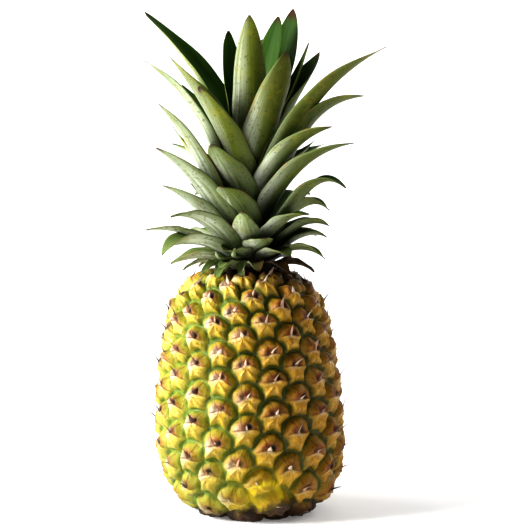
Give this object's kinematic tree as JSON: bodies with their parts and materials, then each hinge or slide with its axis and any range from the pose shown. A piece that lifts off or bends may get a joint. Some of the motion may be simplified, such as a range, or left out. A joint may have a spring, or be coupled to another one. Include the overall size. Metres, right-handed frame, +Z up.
{
  "type": "pineapple",
  "caption": "Whole pineapple standing on its cut base: tapered barrel of spiralling eyes with dry bract tips, and a tall crown of gutter-shaped leaves.",
  "frame": {"origin": "middle of the flat cut base, on the surface that the fruit stands on", "axes": "+Z up the fruit from its base to its crown; -Y towards the side that the picture shows; +X to the right of it"},
  "size_m": [0.1634, 0.1327, 0.343],
  "materials": {
    "rind": "satin waxy rind, golden yellow eyes with green grooves and dry brown tips",
    "leaf": "satin leaf, grey-green bloom underneath, dark green above, dry brown tips"
  },
  "bodies": {
    "root": {"fruit": "rind", "crown": "leaf"}
  },
  "joints": []
}
